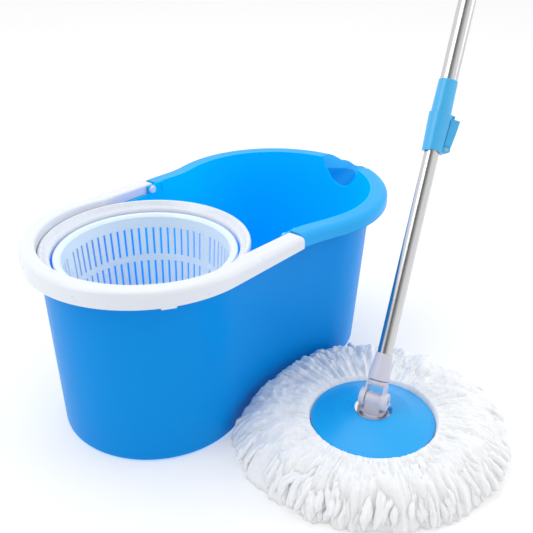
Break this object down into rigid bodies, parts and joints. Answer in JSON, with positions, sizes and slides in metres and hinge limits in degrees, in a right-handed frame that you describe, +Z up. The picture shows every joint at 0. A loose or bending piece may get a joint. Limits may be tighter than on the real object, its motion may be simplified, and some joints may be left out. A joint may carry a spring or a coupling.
{
  "type": "spin mop",
  "caption": "Two-well bucket with a slotted wringing basket, splash collar, bail handle and spout, and a pump-action mop with tilting strand head and telescopic pole.",
  "frame": {"origin": "on the floor, on the wringing basket's spin axis", "axes": "+X along the bucket from the wringing well towards the wash well, +Z up, +Y away from the side the mop stands on"},
  "size_m": [0.742, 0.625, 0.953],
  "materials": {
    "bucket_blue": "moulded, slightly glossy",
    "pin_white": "moulded",
    "white_plastic": "moulded, glossy",
    "handle_white": "moulded, glossy",
    "basket_white": "moulded, glossy",
    "joint_white": "moulded, satin",
    "plate_blue": "moulded, glossy",
    "lock_blue": "moulded, glossy",
    "grip_blue": "satin, slightly soft",
    "nut_plastic": "plain moulded",
    "tube_steel": "polished stainless steel",
    "cup_chrome": "bright pressed steel",
    "bearing_steel": "ground",
    "zinc_steel": "zinc plated",
    "bush_brass": "turned",
    "microfibre": "looped microfibre strands"
  },
  "bodies": {
    "bucket": {"bucket": "bucket_blue", "handle_pivot_pins": "pin_white", "basket_collar": "white_plastic", "bearing_outer_ring": "bearing_steel", "spindle_bush": "bush_brass"},
    "handle": {"carry_handle": "handle_white"},
    "basket": {"spin_basket": "basket_white", "basket_hub": "basket_white", "basket_spindle": "bearing_steel", "bearing_inner_ring": "bearing_steel", "bearing_balls": "bearing_steel", "spindle_nut": "zinc_steel"},
    "mop_head": {"mop_plate": "plate_blue", "strand_ring": "white_plastic", "mop_strands": "microfibre", "joint_cup": "cup_chrome", "joint_base": "joint_white", "base_screws": "zinc_steel", "hinge_pin": "zinc_steel"},
    "lower_pole": {"neck_fork": "joint_white", "neck_sleeve": "joint_white", "neck_rivet": "zinc_steel", "inner_tube": "tube_steel", "drive_nut": "nut_plastic"},
    "guide": {"guide_bush": "nut_plastic"},
    "upper_pole": {"outer_tube": "tube_steel", "screw_rod": "zinc_steel", "rod_plug": "nut_plastic", "collar_ferrule": "lock_blue", "lock_housing": "lock_blue", "lock_pin": "zinc_steel", "hand_grip": "grip_blue", "hang_cap": "grip_blue"},
    "lever": {"lock_lever": "lock_blue"}
  },
  "joints": [
    {"name": "handle_swing", "type": "hinge", "parent": "bucket", "child": "handle", "pos_m": [0.127, 0, 0.2545], "axis": [0, 1, 0], "range_deg": [0, 90]},
    {"name": "basket_spin", "type": "hinge", "parent": "bucket", "child": "basket", "pos_m": [0, 0, 0], "axis": [0, 0, 1], "continuous": true},
    {"name": "mop_lift", "type": "slide", "parent": "bucket", "child": "mop_head", "axis": [0, -0.6, 0.8], "range_m": [0, 0.35]},
    {"name": "pole_tilt", "type": "hinge", "parent": "mop_head", "child": "lower_pole", "pos_m": [0.1105, -0.29, 0.083], "axis": [-0.225, 0.9744, 0], "range_deg": [-112, 54]},
    {"name": "bush_spin", "type": "hinge", "parent": "lower_pole", "child": "guide", "pos_m": [0.1105, -0.29, 0.083], "axis": [0.4724, 0.1091, 0.8746], "range_deg": [-1080, 1080]},
    {"name": "pole_slide", "type": "slide", "parent": "guide", "child": "upper_pole", "axis": [0.4724, 0.1091, 0.8746], "range_m": [-0.2, 0.2]},
    {"name": "lever_open", "type": "hinge", "parent": "upper_pole", "child": "lever", "pos_m": [0.27455, -0.26663, 0.36536], "axis": [0.6468, 0.6312, -0.4281], "range_deg": [0, 90]}
  ],
  "couplings": [
    {"joint": "bush_spin", "follows": "pole_slide", "rad_per_m": 89.76}
  ]
}
